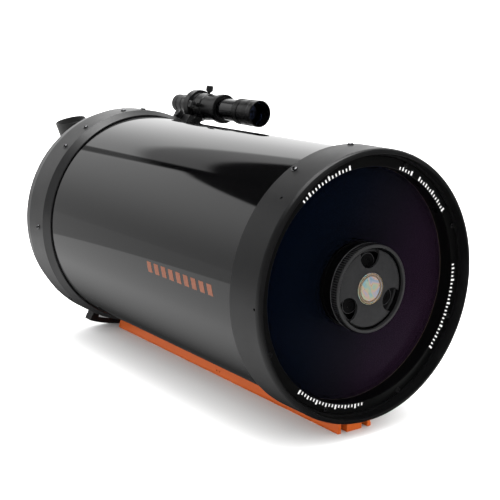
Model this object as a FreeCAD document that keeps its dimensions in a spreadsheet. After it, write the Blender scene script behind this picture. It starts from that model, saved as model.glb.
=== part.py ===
import FreeCAD, Part
import math
import os
import Sketcher
from FreeCAD import Placement, Rotation, Vector

# Schmidt-Cassegrain telescope with a star diagonal, an eyepiece and a 6x30 finder.
# Frame: +Z up, the optical axis runs along Y, the aperture faces -Y, the finder sits on the +X side.
# Origin: centre of the flat underside of the dovetail bar.
# A "station" is the distance along the optical axis behind the front rim of the front cell.

os.makedirs("parts", exist_ok=True)
doc = FreeCAD.newDocument("Telescope")
sheet = doc.addObject("Spreadsheet::Sheet", "Sheet")
rows = [0]


class Val:
    """A number together with the spreadsheet expression that gives it."""

    def __init__(self, value, text):
        self.value = float(value)
        self.text = text

    def __add__(self, o):
        o = val(o)
        return Val(self.value + o.value, "(%s + %s)" % (self.text, o.text))

    def __radd__(self, o):
        return val(o) + self

    def __sub__(self, o):
        o = val(o)
        return Val(self.value - o.value, "(%s - %s)" % (self.text, o.text))

    def __rsub__(self, o):
        return val(o) - self

    def __mul__(self, o):
        o = val(o)
        return Val(self.value * o.value, "(%s * %s)" % (self.text, o.text))

    def __rmul__(self, o):
        return val(o) * self

    def __truediv__(self, o):
        o = val(o)
        return Val(self.value / o.value, "(%s / %s)" % (self.text, o.text))

    def __neg__(self):
        return val(0) - self


def val(v):
    if isinstance(v, Val):
        return v
    return Val(v, "%.6f" % v if v >= 0 else "(0 - %.6f)" % -v)


def par(alias, value):
    rows[0] += 1
    sheet.set("A%d" % rows[0], alias)
    sheet.set("B%d" % rows[0], "%s" % value)
    sheet.setAlias("B%d" % rows[0], alias)
    return Val(value, "Sheet.%s" % alias)


def cosd(deg):
    return val(math.cos(math.radians(deg)))


def sind(deg):
    return val(math.sin(math.radians(deg)))


# ---------------------------------------------------------------- driving dimensions
axis_height = par("axis_height", 151)
station_zero = par("station_zero", 245)
rim_r = par("rim_radius", 136)
rim_bore = par("rim_bore_radius", 128.2)
lip_bore = par("lip_bore_radius", 130.8)
cell_len = par("front_cell_length", 47)
recess = par("ring_recess", 11)
ring_bore = par("ring_bore_radius", 117.7)
glass_station = par("glass_station", 27)
glass_thick = par("glass_thickness", 4.8)
glass_r = par("glass_radius", 120.5)
tube_r = par("tube_radius", 130.4)
tube_wall = par("tube_wall", 1.6)
tube_front = par("tube_front_station", 37.2)
tube_rear = par("tube_rear_station", 446)
rear_front = par("rear_cell_front_station", 436)
rear_r = par("rear_cell_radius", 137.2)
rear_back = par("rear_cell_back_station", 501.5)
hub_back = par("hub_back_station", 514)
sec_front = par("secondary_front_station", 0.5)
sec_ring_r = par("secondary_ring_radius", 43.8)
sec_house_r = par("secondary_housing_radius", 41.4)
baffle_r = par("baffle_tube_radius", 22.5)
mirror_r = par("primary_mirror_radius", 119)
mirror_rim = par("primary_mirror_rim_station", 425)
mirror_back = par("primary_mirror_back_station", 455)
mirror_curve = par("primary_curvature_radius", 1081)
nose_r = par("nosepiece_radius", 15.82)
nose_bore = par("nosepiece_bore_radius", 15.9)
knob_at = par("focuser_offset", 68)
knob_ang = 200.0
diag_station = par("diagonal_axis_station", 588)
diag_tilt = 12.5
bar_len = par("bar_length", 448)
bar_half = par("bar_half_width", 22)
finder_x = par("finder_offset_x", 100)
finder_z = par("finder_offset_z", 137)
finder_tube_r = par("finder_tube_radius", 12.5)
screw_r = par("screw_shank_radius", 1.95)
screw_bore = par("screw_bore_radius", 2.0)

AXIAL = Rotation(Vector(1, 0, 0), -90)  # local Z runs along +Y, the way light leaves the tube
SECTION = Rotation(Vector(1, 0, 0), 90)  # local X, Y lie along X, +Z; local Z runs along -Y
nodes = []


def bind(obj, prop, v):
    v = val(v)
    obj.setExpression(prop, v.text)


def place(obj, x, a, z, rot=AXIAL):
    """Puts an object's own origin at (x, station a, z) measured from the optical axis."""
    x, a, z = val(x), val(a) - station_zero, val(z) + axis_height
    obj.Placement = Placement(Vector(x.value, a.value, z.value), rot)
    bind(obj, "Placement.Base.x", x)
    bind(obj, "Placement.Base.y", a)
    bind(obj, "Placement.Base.z", z)


def toward(x, y, z):
    return Rotation(Vector(0, 0, 1), Vector(x, y, z))


def plane(body, role):
    for f in body.Origin.OriginFeatures:
        if f.Role == role:
            return f


def sketch(body, name, role="XZ_Plane", lift=None):
    sk = body.newObject("Sketcher::SketchObject", name)
    sk.AttachmentSupport = [(plane(body, role), "")]
    sk.MapMode = "FlatFace"
    if lift is not None:
        lift = val(lift)
        sk.AttachmentOffset = Placement(Vector(0, 0, lift.value), Rotation())
        bind(sk, "AttachmentOffset.Base.z", lift)
    return sk


def poly(sk, pts):
    """A closed outline whose corners are held by dimensions from the sketch origin."""
    pts = [(val(p), val(q)) for p, q in pts]
    n = len(pts)
    for i in range(n):
        p, q = pts[i], pts[(i + 1) % n]
        sk.addGeometry(Part.LineSegment(Vector(p[0].value, p[1].value, 0), Vector(q[0].value, q[1].value, 0)), False)
    cons = [Sketcher.Constraint("Coincident", i, 2, (i + 1) % n, 1) for i in range(n)]
    names = []
    for i, (p, q) in enumerate(pts):
        if abs(p.value) < 1e-9:
            cons.append(Sketcher.Constraint("PointOnObject", i, 1, -2))
        else:
            names.append((len(cons), "px%d" % i, p))
            cons.append(Sketcher.Constraint("DistanceX", -1, 1, i, 1, p.value))
        if abs(q.value) < 1e-9:
            cons.append(Sketcher.Constraint("PointOnObject", i, 1, -1))
        else:
            names.append((len(cons), "py%d" % i, q))
            cons.append(Sketcher.Constraint("DistanceY", -1, 1, i, 1, q.value))
    sk.addConstraint(cons)
    for k, nm, v in names:
        sk.renameConstraint(k, nm)
        bind(sk, "Constraints." + nm, v)


def circle(sk, x, y, r):
    x, y, r = val(x), val(y), val(r)
    g = sk.addGeometry(Part.Circle(Vector(x.value, y.value, 0), Vector(0, 0, 1), r.value), False)
    for kind, v in (("DistanceX", x), ("DistanceY", y)):
        if abs(v.value) < 1e-9:
            sk.addConstraint(Sketcher.Constraint("PointOnObject", g, 3, -2 if kind == "DistanceX" else -1))
        else:
            k = sk.addConstraint(Sketcher.Constraint(kind, -1, 1, g, 3, v.value))
            bind(sk, "Constraints[%d]" % k, v)
    k = sk.addConstraint(Sketcher.Constraint("Radius", g, r.value))
    bind(sk, "Constraints[%d]" % k, r)


def body_new(name, x=0, a=0, z=0, rot=AXIAL, compound=False):
    b = doc.addObject("PartDesign::Body", name)
    b.Label = name
    if compound:
        b.AllowCompound = True
    place(b, x, a, z, rot)
    return b


def rev(name, pts, x=0, a=0, z=0, rot=AXIAL, node=True):
    """A turned piece: (radius, length) corners turned about the body's own Z axis."""
    b = body_new(name if node else name + "_blank", x, a, z, rot)
    sk = sketch(b, name + "_outline")
    poly(sk, pts)
    f = b.newObject("PartDesign::Revolution", name + "_turned")
    f.Profile = sk
    f.ReferenceAxis = (sk, ["V_Axis"])
    f.Angle = 360
    b.Tip = f
    if node:
        nodes.append((name, b))
    return b


def pad(name, pts, length, x=0, a=0, z=0, rot=SECTION, node=True):
    """An extruded piece: a section outline pushed along the body's own Z axis."""
    b = body_new(name if node else name + "_blank", x, a, z, rot)
    sk = sketch(b, name + "_section", "XY_Plane")
    poly(sk, pts)
    f = b.newObject("PartDesign::Pad", name + "_pad")
    f.Profile = sk
    f.Length = val(length).value
    bind(f, "Length", length)
    b.Tip = f
    if node:
        nodes.append((name, b))
    return b


def cyl(name, r, length, x=0, a=0, z=0, rot=AXIAL, angle=None):
    c = doc.addObject("Part::Cylinder", name)
    c.Label = name
    bind(c, "Radius", r)
    bind(c, "Height", length)
    if angle:
        c.Angle = angle
    place(c, x, a, z, rot)
    return c


def box(name, lx, ly, lz, x=0, a=0, z=0, rot=Rotation()):
    """A block, lx by ly by lz along its own axes, standing on its own corner."""
    c = doc.addObject("Part::Box", name)
    c.Label = name
    bind(c, "Length", lx)
    bind(c, "Width", ly)
    bind(c, "Height", lz)
    place(c, x, a, z, rot)
    return c


def fuse(name, shapes, node=False):
    f = doc.addObject("Part::MultiFuse", name)
    f.Label = name
    f.Shapes = shapes
    if node:
        nodes.append((name, f))
    return f


def cut(name, base, tools):
    """A node: the base with every tool taken away."""
    tool = tools[0] if len(tools) == 1 else fuse(name + "_tools", tools)
    c = doc.addObject("Part::Cut", name)
    c.Base = base
    c.Tool = tool
    c.Label = name
    nodes.append((name, c))
    return c


def group(name, shapes):
    """A node of separate, identical solids."""
    c = doc.addObject("Part::Compound", name)
    c.Links = shapes
    c.Label = name
    nodes.append((name, c))
    return c


def polar(r, deg):
    return r * cosd(deg), r * sind(deg)


def out(deg):
    return toward(math.cos(math.radians(deg)), 0, math.sin(math.radians(deg)))


def radial_screws(name, r_seat, station, first, count, span, head_r, head_len, shank_len, node=True):
    """Button-head screws pointing at the optical axis, set round a cell by a polar pattern."""
    # local angles run the other way round, so the pattern starts at the last one
    b = body_new(name, 0, station, 0, AXIAL * Rotation(Vector(0, 0, 1), -first), True)
    sk = sketch(b, name + "_outline")
    hl, hr = val(head_len), val(head_r)
    poly(sk, [(r_seat - shank_len, 0), (r_seat + hl, 0), (r_seat + hl, hr * 0.55), (r_seat + hl * 0.6, hr * 0.9),
              (r_seat + hl * 0.15, hr), (r_seat, hr), (r_seat, screw_r), (r_seat - shank_len, screw_r)])
    f = b.newObject("PartDesign::Revolution", name + "_turned")
    f.Profile = sk
    f.ReferenceAxis = (sk, ["H_Axis"])
    f.Angle = 360
    doc.recompute()
    whole = f.Shape.Volume
    s2 = sketch(b, name + "_socket", "YZ_Plane", r_seat + hl)
    hx = hr * 0.42
    poly(s2, [(hx * math.cos(math.radians(60 * i + 30)), hx * math.sin(math.radians(60 * i + 30))) for i in range(6)])
    p = b.newObject("PartDesign::Pocket", name + "_hex")
    p.Profile = s2
    p.Length = hl.value * 0.7
    bind(p, "Length", hl * 0.7)
    doc.recompute()
    assert p.Shape.Volume < whole - 0.5, name
    pat = b.newObject("PartDesign::PolarPattern", name + "_ring")
    pat.Originals = [f, p]
    pat.Axis = (plane(b, "Z_Axis"), [""])
    pat.Angle = span
    pat.Occurrences = count
    b.Tip = pat
    if node:
        nodes.append((name, b))
    return b


def bolt(name, x, a, z, rot, head_r, head_len, shank_r, shank_len):
    """One cap screw: head from its own origin backwards, shank forwards along its own Z."""
    hr, hl, sl = val(head_r), val(head_len), val(shank_len)
    b = body_new(name, x, a, z, rot)
    sk = sketch(b, name + "_outline")
    poly(sk, [(0, -hl * 0.45), (hr * 0.5, -hl * 0.45), (hr * 0.5, -hl), (hr * 0.86, -hl), (hr, -hl * 0.8), (hr, 0),
              (shank_r, 0), (shank_r, sl - 0.4), (val(shank_r) - 0.4, sl), (0, sl)])
    f = b.newObject("PartDesign::Revolution", name + "_turned")
    f.Profile = sk
    f.ReferenceAxis = (sk, ["V_Axis"])
    f.Angle = 360
    b.Tip = f
    return b


def thumbscrew(name, x, a, z, rot, head_r, head_len, shank_r, shank_len, neck=1.5):
    """A thumbscrew: own origin at the seat, shank along -Z (into the piece), head along +Z."""
    hr, hl, sr, nk = val(head_r), val(head_len), val(shank_r), val(neck)
    b = body_new(name + "_blank", x, a, z, rot)
    sk = sketch(b, name + "_outline")
    poly(sk, [(0, -val(shank_len)), (sr, -val(shank_len)), (sr, 0), (sr * 1.7, 0), (sr * 1.7, nk), (hr - 0.6, nk), (hr, nk + 0.6),
              (hr, nk + hl - 0.6), (hr - 0.6, nk + hl), (hr * 0.55, nk + hl), (hr * 0.5, nk + hl - 0.5), (0, nk + hl - 0.5)])
    f = b.newObject("PartDesign::Revolution", name + "_turned")
    f.Profile = sk
    f.ReferenceAxis = (sk, ["V_Axis"])
    f.Angle = 360
    b.Tip = f
    b.Label = name
    nodes.append((name, b))
    return b


ZROT = Rotation()
# three accessory screws on top of the front cell; eight round the rear one, clear of the finder foot and the dovetail bar
front_angles = [60, 90, 120]
rear_angles = [-45, 0, 84, 96, 120, 135, 180, 225]
set_holes = [(180, 6.5), (135, 20), (45, 20), (0, 6.5)]

# ---------------------------------------------------------------- front cell and corrector
blank = rev("front_cell", [
    (lip_bore, 0.4), (lip_bore + 0.4, 0), (lip_bore + 1.4, 0), (rim_r - 2.4, 0.6), (rim_r - 1.1, 1.7), (rim_r - 0.3, 3.2), (rim_r, 4.8), (rim_r, cell_len - 1.4), (rim_r - 1.2, cell_len), (tube_r + 0.3, cell_len),
    (tube_r + 0.3, tube_front - 0.2), (115.5, tube_front - 0.2), (115.5, glass_station + glass_thick), (121.8, glass_station + glass_thick),
    (121.8, recess + 3.2), (rim_bore, recess + 3.2), (rim_bore, recess), (lip_bore, recess)], node=False)
tools = []
front_screw_station = par("front_screw_station", 37.4)
for k, ang in enumerate(front_angles):
    x, z = polar(rim_r - 6.2, ang)
    tools.append(cyl("front_tap_%d" % k, screw_bore, 8, x, front_screw_station, z, out(ang)))
for k, (ang, at) in enumerate(set_holes):
    x, z = polar(rim_r - 2.6, ang)
    tools.append(cyl("front_set_hole_%d" % k, 1.35, 5, x, at, z, out(ang)))
ring_pcd = par("ring_screw_radius", 124.8)
for k in range(8):
    x, z = polar(ring_pcd, 22.5 + 45 * k)
    tools.append(cyl("ring_tap_%d" % k, 1.3, 7, x, recess + 3, z, AXIAL))
bar_front_bolt = par("bar_front_bolt_station", 40)
bar_rear_bolt = par("bar_rear_bolt_station", 456)
for k, a in enumerate((bar_front_bolt - 9, bar_front_bolt)):
    tools.append(cyl("front_bar_tap_%d" % k, 3.0, 7.2, 0, a, -rim_r - 0.5, ZROT))
cut("front_cell", blank, tools)

blank = rev("corrector_ring", [
    (ring_bore, recess + 0.5), (ring_bore + 0.5, recess), (127.5, recess), (127.9, recess + 0.4), (127.9, recess + 3.1), (121.4, recess + 3.1),
    (121.4, glass_station - 0.6), (ring_bore, glass_station - 0.6)], node=False)
cut("corrector_ring", blank, [cyl("ring_hole_%d" % k, 1.5, 6, *[polar(ring_pcd, 22.5 + 45 * k)[0], recess - 1, polar(ring_pcd, 22.5 + 45 * k)[1]]) for k in range(8)])
rev("corrector_gasket", [(ring_bore, glass_station - 0.6), (121.2, glass_station - 0.6), (121.2, glass_station), (ring_bore, glass_station)])
rev("corrector_plate", [(38.2, glass_station), (glass_r, glass_station), (glass_r, glass_station + glass_thick), (38.2, glass_station + glass_thick)])
group("retaining_ring_screws", [bolt("ring_screw_%d" % k, polar(ring_pcd, 22.5 + 45 * k)[0], recess, polar(ring_pcd, 22.5 + 45 * k)[1], AXIAL, 2.6, 1.7, 1.25, 9) for k in range(8)])
radial_screws("front_cell_screws", rim_r, front_screw_station, 120, 3, 60, 3.3, 1.9, 5.2)

# ---------------------------------------------------------------- tube
rev("main_tube", [(tube_r - tube_wall, tube_front), (tube_r, tube_front), (tube_r, tube_rear), (tube_r - tube_wall, tube_rear)])

# ---------------------------------------------------------------- secondary
hf = sec_front + 4.5
sec_floor = par("secondary_floor_station", 14)
blank = rev("secondary_housing", [
    (38.6, hf), (sec_house_r, hf), (sec_house_r, glass_station - 3), (43.2, glass_station - 3), (43.2, glass_station), (37.8, glass_station),
    (37.8, 38), (34.2, 38), (34.2, sec_floor + 4), (0, sec_floor + 4), (0, sec_floor), (38.6, sec_floor)], node=False)
col_r = par("collimation_screw_offset", 25.5)
col_angles = [92, -28, 212]
cut("secondary_housing", blank, [cyl("housing_hole_%d" % k, 2.3, 8, polar(col_r, a)[0], sec_floor - 2, polar(col_r, a)[1]) for k, a in enumerate(col_angles)])
cover_front = sec_front + 3.1
blank = rev("secondary_cover", [(0, cover_front), (37.9, cover_front), (38.4, cover_front + 0.5), (38.4, sec_floor), (36.0, sec_floor), (36.0, cover_front + 2.6), (0, cover_front + 2.6)], node=False)
cut("secondary_cover", blank, [cyl("cover_window_%d" % k, 12.0, 5, polar(32.5, a)[0], cover_front - 1, polar(32.5, a)[1]) for k, a in enumerate(col_angles)])
rev("secondary_badge", [(0, cover_front - 0.5), (13.9, cover_front - 0.5), (14.1, cover_front - 1.1), (15.4, cover_front - 1.1), (15.7, cover_front - 0.7), (15.7, cover_front), (0, cover_front)])
rev("secondary_retaining_ring", [
    (40.7, sec_front + 0.3), (41.0, sec_front), (sec_ring_r - 0.7, sec_front), (sec_ring_r, sec_front + 0.7), (sec_ring_r, sec_front + 10),
    (sec_house_r + 0.3, sec_front + 10), (sec_house_r + 0.3, sec_front + 3.2), (40.7, sec_front + 3.2)])
for k, a in enumerate(col_angles):
    x, z = polar(col_r, a)
    rev("collimation_screw_%d" % (k + 1), [(0, sec_floor - 5.6), (3.4, sec_floor - 5.6), (4.0, sec_floor - 6.4), (8.2, sec_floor - 6.4), (8.8, sec_floor - 5.8), (8.8, sec_floor - 0.3),
                                           (2.2, sec_floor - 0.3), (2.2, sec_floor + 9.5), (0, sec_floor + 9.5)], x, 0, z)
blank = rev("secondary_mirror_cell", [(0, sec_floor + 6.5), (32.5, sec_floor + 6.5), (33.5, sec_floor + 7.5), (33.5, sec_floor + 17), (31.6, sec_floor + 17), (31.6, sec_floor + 11), (0, sec_floor + 11)], node=False)
cut("secondary_mirror_cell", blank, [cyl("cell_tap_%d" % k, 2.25, 3.6, polar(col_r, a)[0], sec_floor + 6, polar(col_r, a)[1]) for k, a in enumerate(col_angles)])
ms = sec_floor + 11
lens = cyl("secondary_blank", 31.3, 8, 0, ms, 0)
ball = doc.addObject("Part::Sphere", "secondary_curve")
sec_curve = par("secondary_curvature_radius", 320)
bind(ball, "Radius", sec_curve)
place(ball, 0, ms + 7.5 - sec_curve, 0)
com = doc.addObject("Part::MultiCommon", "secondary_mirror")
com.Shapes = [lens, ball]
com.Label = "secondary_mirror"
nodes.append(("secondary_mirror", com))
g2 = glass_station + glass_thick
rev("secondary_baffle", [(38.1, g2), (45, g2), (45, g2 + 2.6), (41.4, g2 + 2.6), (44.0, g2 + 31), (42.8, g2 + 31), (40.0, g2 + 6.2), (38.1, g2 + 6.2)])

# ---------------------------------------------------------------- rear cell
blank = rev("rear_cell", [
    (tube_r + 0.3, rear_front), (tube_r + 1.6, rear_front), (rear_r, rear_front + 11), (rear_r, rear_back - 17), (133.4, rear_back), (118, rear_back + 2.5),
    (64, hub_back - 3), (49, hub_back - 3), (48, hub_back), (27.0, hub_back), (27.0, hub_back - 10), (50, hub_back - 10), (116, rear_back - 5),
    (126, rear_back - 9), (126, tube_rear + 0.3), (tube_r + 0.3, tube_rear + 0.3)], node=False)
tools = []
rear_screw_station = par("rear_screw_station", 459)
for k, ang in enumerate(rear_angles):
    x, z = polar(rear_r - 6.2, ang)
    tools.append(cyl("rear_tap_%d" % k, screw_bore, 8, x, rear_screw_station, z, out(ang)))
for k, a in enumerate((bar_rear_bolt - 5, bar_rear_bolt + 6)):
    tools.append(cyl("rear_bar_tap_%d" % k, 3.0, 7.2, 0, a, -rear_r - 0.5, ZROT))
kx, kz = polar(knob_at, knob_ang)
tools.append(cyl("bushing_hole", 12.9, 30, kx, hub_back - 20, kz))
handle_angles = [-90 - 20.2, -90 + 20.2]
handle_station = par("handle_station", 490)
for k, ang in enumerate(handle_angles):
    x, z = polar(rear_r - 9, ang)
    tools.append(cyl("handle_tap_%d" % k, screw_bore, 16, x, handle_station - 1, z, out(ang)))
finder_ang = math.degrees(math.atan2(137, 100))
foot_mid = par("foot_mid_station", 460)
for k, a in enumerate((foot_mid - 12, foot_mid + 12)):
    x, z = polar(rear_r - 7, finder_ang)
    tools.append(cyl("foot_tap_%d" % k, screw_bore, 14, x, a, z, out(finder_ang)))
port_screw_r = par("port_screw_radius", 38)
for k in range(3):
    x, z = polar(port_screw_r, 90 + 120 * k)
    tools.append(cyl("port_tap_%d" % k, 1.6, 9, x, hub_back - 8, z))
cut("rear_cell", blank, tools)
group("rear_cell_screws", [radial_screws("rear_screw_pair_%d" % k, rear_r, rear_screw_station, first, 2, span, 3.3, 1.9, 6.0, node=False)
                           for k, (first, span) in enumerate(((180, 180), (225, 90), (120, 24), (84, 129)))])
baffle_front = par("baffle_front_station", 205)
rev("primary_baffle", [(20.2, baffle_front), (21.2, baffle_front), (baffle_r, baffle_front + 1.3), (baffle_r, hub_back - 16), (45, hub_back - 16), (45, hub_back - 10), (26.8, hub_back - 10),
                       (26.8, hub_back), (20.2, hub_back)])
blank = rev("rear_port_plate", [(20.2, hub_back), (45, hub_back), (46, hub_back + 1), (46, hub_back + 5), (28.5, hub_back + 5), (27, hub_back + 6.5), (25.3, hub_back + 7), (25.3, hub_back + 15), (24.6, hub_back + 15.8), (20.2, hub_back + 15.8)], node=False)
cut("rear_port_plate", blank, [cyl("port_hole_%d" % k, 1.7, 8, polar(port_screw_r, 90 + 120 * k)[0], hub_back - 1, polar(port_screw_r, 90 + 120 * k)[1]) for k in range(3)])
group("port_plate_screws", [bolt("port_screw_%d" % k, polar(port_screw_r, 90 + 120 * k)[0], hub_back + 5, polar(port_screw_r, 90 + 120 * k)[1], Rotation(Vector(1, 0, 0), 90), 3.0, 2.2, 1.5, 12) for k in range(3)])

# ---------------------------------------------------------------- visual back
vb = hub_back + 16.2
rev("visual_back_ring", [(25.5, vb - 8), (30.5, vb - 8), (31.2, vb - 7.3), (31.2, vb + 3.4), (30.5, vb + 4.1), (22.3, vb + 4.1), (22.3, vb + 1.6), (25.5, vb + 1.6)])
blank = rev("visual_back", [(nose_bore, vb), (25.2, vb), (25.2, vb + 1.3), (22.0, vb + 1.3), (22.0, vb + 6), (20.5, vb + 7), (20.5, vb + 26), (19.8, vb + 26.8), (nose_bore + 0.6, vb + 26.8), (nose_bore, vb + 26.2)], node=False)
vt = vb + 19
thumb_angles = [45, 135]
cut("visual_back", blank, [cyl("vb_tap_%d" % k, 1.85, 8, polar(14, ang)[0], vt, polar(14, ang)[1], out(ang)) for k, ang in enumerate(thumb_angles)])
for nm, ang in (("visual_back_thumbscrew_a", 45), ("visual_back_thumbscrew_b", 135)):
    x, z = polar(20.8, ang)
    thumbscrew(nm, x, vt, z, out(ang), 5.2, 6.5, 1.8, 2.9, 1.2)

# ---------------------------------------------------------------- focuser
rev("focuser_bushing", [(3.58, hub_back - 18), (12.7, hub_back - 18), (12.7, hub_back), (17.5, hub_back), (17.5, hub_back + 2.2), (16.5, hub_back + 3.2), (3.58, hub_back + 3.2)], kx, 0, kz)
kb = hub_back + 3.6
rev("focus_screw", [(0, hub_back - 50.5), (3.0, hub_back - 50.5), (3.5, hub_back - 50), (3.5, kb + 24), (0, kb + 24)], kx, 0, kz)
rev("focus_knob_core", [(3.55, kb), (10.5, kb), (11.0, kb + 0.5), (11.0, kb + 25), (3.55, kb + 25)], kx, 0, kz)
blank = rev("focus_knob_grip", [(11.1, kb + 1), (13.6, kb + 1), (14.4, kb + 1.8), (14.4, kb + 25.4), (13.2, kb + 26.6), (2.0, kb + 26.6), (2.0, kb + 25.2), (11.1, kb + 25.2)], node=False, x=kx, z=kz)
tools = []
for k in range(18):
    x, z = polar(val(14.9), 20 * k)
    tools.append(cyl("grip_flute_%d" % k, 0.95, 27, kx + x, kb, kz + z))
cut("focus_knob_grip", blank, tools)

# ---------------------------------------------------------------- primary mirror on its carrier
base = cyl("primary_blank", mirror_r, mirror_back - mirror_rim, 0, mirror_rim, 0)
ball = doc.addObject("Part::Sphere", "primary_curve")
bind(ball, "Radius", mirror_curve)
apex = mirror_rim + mirror_r * mirror_r / (2 * mirror_curve)
place(ball, 0, apex - mirror_curve, 0)
cut("primary_mirror", base, [ball, cyl("primary_hole", 26.9, 60, 0, mirror_rim - 10, 0)])
carrier = rev("mirror_carrier", [(baffle_r + 0.08, 404), (26.5, 404), (26.5, mirror_back), (80, mirror_back), (80, mirror_back + 6), (30, mirror_back + 6), (26.5, mirror_back + 12), (26.5, mirror_back + 22), (baffle_r + 0.08, mirror_back + 22)], node=False)
cut("mirror_carrier", carrier, [cyl("nut_hole", 8.4, 20, kx, mirror_back - 6, kz)])
rev("mirror_clamp_ring", [(26.6, mirror_rim - 1), (35, mirror_rim - 1), (36, mirror_rim), (36, mirror_rim + 5.7), (26.6, mirror_rim + 5.7)])
nb = mirror_back + 6
rev("focus_nut", [(3.58, nb - 5.6), (8.3, nb - 5.6), (8.3, nb), (11.5, nb), (11.5, nb + 3), (8.3, nb + 3), (8.3, nb + 16), (3.58, nb + 16)], kx, 0, kz)

# ---------------------------------------------------------------- dovetail bar
bar_front = station_zero - bar_len / 2
bh = bar_half
blank = pad("dovetail_bar", [
    (-bh + 0.6, 0), (-17.4, 0), (-17.4, 6.5), (-9.6, 6.5), (-9.6, 0), (9.6, 0), (9.6, 6.5), (17.4, 6.5), (17.4, 0), (bh - 0.6, 0),
    (bh, 0.6), (bh, 2.8), (bh - 3.2, 11.2), (bh - 3.2, 16.6), (-bh + 3.2, 16.6), (-bh + 3.2, 11.2), (-bh, 2.8), (-bh, 0.6)],
    bar_len, 0, bar_front + bar_len, -axis_height, node=False)
tools = [cyl("bar_saddle", rear_r + 0.05, 60, 0, rear_front, 0), cyl("bar_saddle_front", rim_r + 0.05, 470, 0, -20, 0)]
for nm, a in (("f1", bar_front_bolt - 9), ("f2", bar_front_bolt), ("r1", bar_rear_bolt - 5), ("r2", bar_rear_bolt + 6)):
    tools.append(cyl("bar_hole_" + nm, 3.2, 20, 0, a, -axis_height - 1, ZROT))
    tools.append(cyl("bar_bore_" + nm, 5.4, 8.5, 0, a, -axis_height - 1, ZROT))
for sgn, nm in ((-17.4, "l"), (9.6, "r")):
    tools.append(box("bar_notch_" + nm, 7.8, 14, 20, sgn, bar_front - 2, -axis_height - 1))
for k, a in enumerate((95, 101, 232, 238)):
    tools.append(cyl("bar_pin_hole_%d" % k, 1.1, 5, -bar_half - 0.5, a, -axis_height + 5.6, toward(1, 0, 0)))
cut("dovetail_bar", blank, tools)
UPR = Rotation(Vector(0, 0, 1), Vector(0, 0, 1))
group("dovetail_screws", [bolt("bar_bolt_" + nm, 0, a, -axis_height + 7.5, UPR, 5.1, 5.6, 2.95, 12.2) for nm, a in
                          (("f1", bar_front_bolt - 9), ("f2", bar_front_bolt), ("r1", bar_rear_bolt - 5), ("r2", bar_rear_bolt + 6))])

# ---------------------------------------------------------------- carry handle under the rear cell
handle_out = par("handle_outer_radius", 150.3)
handle_in = par("handle_inner_radius", 143.2)
hw = par("handle_width", 15)
sector = Rotation(Vector(0, 0, 1), 90 - 22.4)
outer = cyl("handle_outer", handle_out, hw, 0, handle_station - hw / 2, 0, AXIAL * sector, 44.8)
inner = cyl("handle_inner", handle_in, hw + 2, 0, handle_station - hw / 2 - 1, 0, AXIAL)
arc = doc.addObject("Part::Cut", "handle_arc")
arc.Base = outer
arc.Tool = inner
posts = []
for k, ang in enumerate(handle_angles):
    rot = out(ang)
    # a post standing radially between the cell's tapered back edge and the arc
    half = 4.6
    dx, dz = -math.sin(math.radians(ang)) * half, math.cos(math.radians(ang)) * half
    x, z = polar(val(134.2), ang)
    r3 = Rotation(Vector(-math.sin(math.radians(ang)), 0, math.cos(math.radians(ang))), Vector(0, -1, 0), Vector(math.cos(math.radians(ang)), 0, math.sin(math.radians(ang))))
    posts.append(box("handle_post_%d" % k, 2 * half, hw, handle_in - 134.2 + 1.5, x - dx, handle_station + hw / 2, z - dz, r3))
hb = fuse("handle_blank", [arc] + posts)
keep_off = cyl("handle_seat", rear_r + 0.02, 90, 0, rear_front - 10, 0)
tools = [keep_off]
for k, ang in enumerate(handle_angles):
    x, z = polar(val(130), ang)
    tools.append(cyl("handle_hole_%d" % k, 2.1, 30, x, handle_station - 1, z, out(ang)))
    x, z = polar(handle_out - 3.2, ang)
    tools.append(cyl("handle_sink_%d" % k, 3.9, 8, x, handle_station - 1, z, out(ang)))
cut("rear_handle", hb, tools)
group("handle_screws", [bolt("handle_screw_%d" % k, polar(handle_out - 3.2, ang)[0], handle_station - 1, polar(handle_out - 3.2, ang)[1], out(ang + 180), 3.6, 2.8, 1.9, 16.5) for k, ang in enumerate(handle_angles)])

# ---------------------------------------------------------------- finder foot and bracket
FA = math.radians(finder_ang)
e_r = Vector(math.cos(FA), 0, math.sin(FA))
e_t = Vector(math.sin(FA), 0, -math.cos(FA))
FOOT = Rotation(e_t, e_r, e_t.cross(e_r))
foot_len = par("foot_length", 38)
foot_base = rear_r - 0.8
# local x runs across the foot, local y outwards from the optical axis, local z towards the front
fy = foot_base
blank = pad("finder_foot", [(-15, 0), (15, 0), (15, 10.4), (14, 11.4), (7.4, 11.4), (9.6, 5.2), (-9.6, 5.2), (-7.4, 11.4), (-14, 11.4), (-15, 10.4)], foot_len,
            polar(fy, finder_ang)[0], foot_mid + foot_len / 2, polar(fy, finder_ang)[1], FOOT, node=False)
tools = [cyl("foot_saddle", rear_r + 0.02, 90, 0, rear_front + 4, 0)]
for k, a in enumerate((foot_mid - 12, foot_mid + 12)):
    x, z = polar(val(128), finder_ang)
    tools.append(cyl("foot_hole_%d" % k, 2.1, 20, x, a, z, out(finder_ang)))
    x, z = polar(foot_base + 2.4, finder_ang)
    tools.append(cyl("foot_sink_%d" % k, 3.7, 4, x, a, z, out(finder_ang)))
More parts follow.
